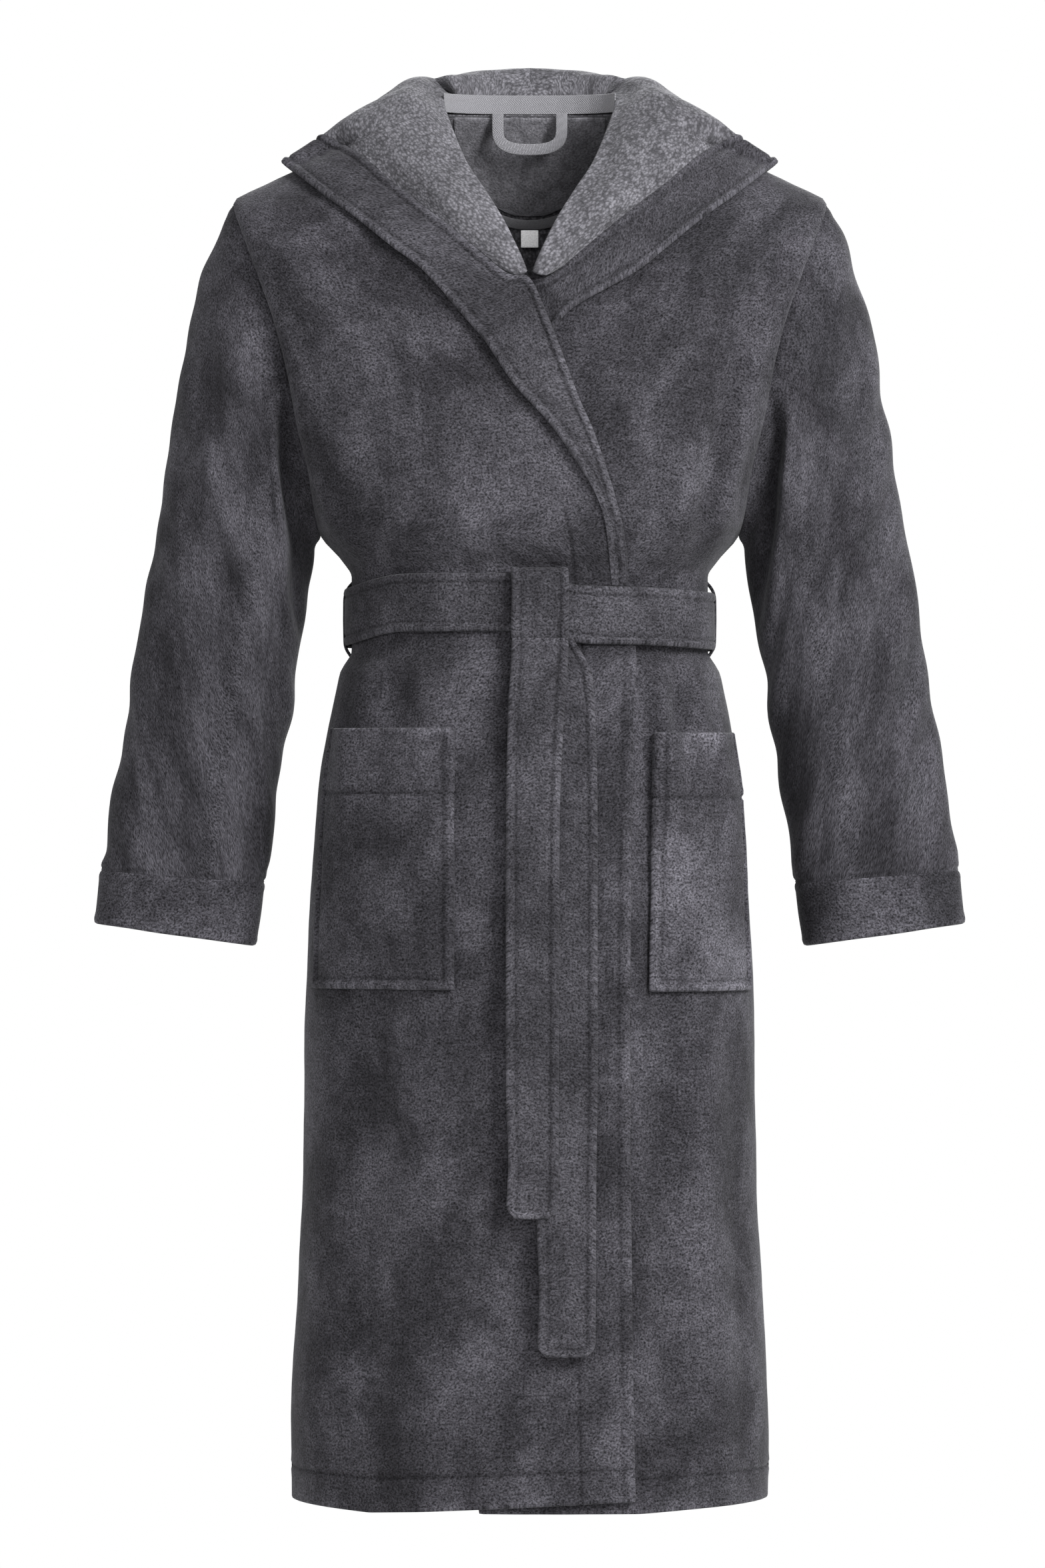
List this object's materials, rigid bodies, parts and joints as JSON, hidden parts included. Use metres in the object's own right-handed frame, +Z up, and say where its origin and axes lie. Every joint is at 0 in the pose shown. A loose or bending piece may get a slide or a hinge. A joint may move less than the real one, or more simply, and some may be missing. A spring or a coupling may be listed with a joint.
{
  "type": "bathrobe",
  "caption": "Hooded velour bathrobe with turned-out hood lapels, tied belt, patch pockets, turned cuffs and a hanger loop, closed as worn.",
  "frame": {"origin": "the middle of the line in the back neck where the hanger loop is sewn on, which is where a hook holds the robe", "axes": "+Z up the body, +Y towards the wearer's back, +X towards the wearer's left side; the front of the robe faces -Y"},
  "size_m": [0.774, 0.3402, 1.2771],
  "materials": {
    "velour": "sheared cotton velour, soft nap in light and dark patches",
    "belt_velour": "the same velour, doubled and topstitched",
    "velour_band": "velour facing band along the hood's edge",
    "terry_loops": "uncut towelling loops, coarser and lighter than the velour",
    "herringbone_tape": "woven herringbone cotton tape",
    "yoke_cloth": "velour half-moon, flat nap",
    "binding": "narrow woven cotton binding",
    "label_satin": "white woven satin label with no lettering"
  },
  "bodies": {
    "robe": {"back_panel": "velour", "front_panel_over": "velour", "front_panel_under": "velour", "facing_over": "velour", "facing_under": "velour", "pocket_right": "velour", "pocket_left": "velour", "belt_waist": "belt_velour", "belt_knot": "belt_velour", "belt_loop_right": "belt_velour", "belt_loop_left": "belt_velour", "neck_tape": "herringbone_tape", "neck_yoke": "yoke_cloth", "yoke_binding": "binding", "lapel_right": "terry_loops", "lapel_left": "terry_loops", "lapel_band_right": "velour_band", "lapel_band_left": "velour_band", "hood_collar": "terry_loops"},
    "hood": {"hood_half_right": "velour", "hood_half_left": "velour", "hood_band_right": "velour_band", "hood_band_left": "velour_band"},
    "right_sleeve": {"sleeve_right": "velour", "cuff_right": "velour"},
    "left_sleeve": {"sleeve_left": "velour", "cuff_left": "velour"},
    "belt_ends": {"belt_tail_back": "belt_velour", "belt_tail_front": "belt_velour"},
    "loop": {"hanger_loop": "herringbone_tape"},
    "label": {"size_label": "label_satin"}
  },
  "joints": [
    {"name": "right_sleeve_swing", "type": "hinge", "parent": "robe", "child": "right_sleeve", "pos_m": [-0.263, -0.052, -0.085], "axis": [0, 1, 0], "range_deg": [0, 50]},
    {"name": "left_sleeve_swing", "type": "hinge", "parent": "robe", "child": "left_sleeve", "pos_m": [0.263, -0.052, -0.085], "axis": [0, -1, 0], "range_deg": [0, 50]},
    {"name": "belt_ends_swing", "type": "hinge", "parent": "robe", "child": "belt_ends", "pos_m": [0.012, -0.1836, -0.4765], "axis": [-1, 0, 0], "range_deg": [0, 45]},
    {"name": "hood_lift", "type": "hinge", "parent": "robe", "child": "hood", "pos_m": [0, 0.043, 0.028], "axis": [1, 0, 0], "range_deg": [0, 60]},
    {"name": "loop_flip", "type": "hinge", "parent": "robe", "child": "loop", "pos_m": [0, 0, 0], "axis": [-1, 0, 0], "range_deg": [-6, 120]},
    {"name": "label_flip", "type": "hinge", "parent": "robe", "child": "label", "pos_m": [0, 0.0445, -0.103], "axis": [-1, 0, 0], "range_deg": [0, 80]}
  ]
}
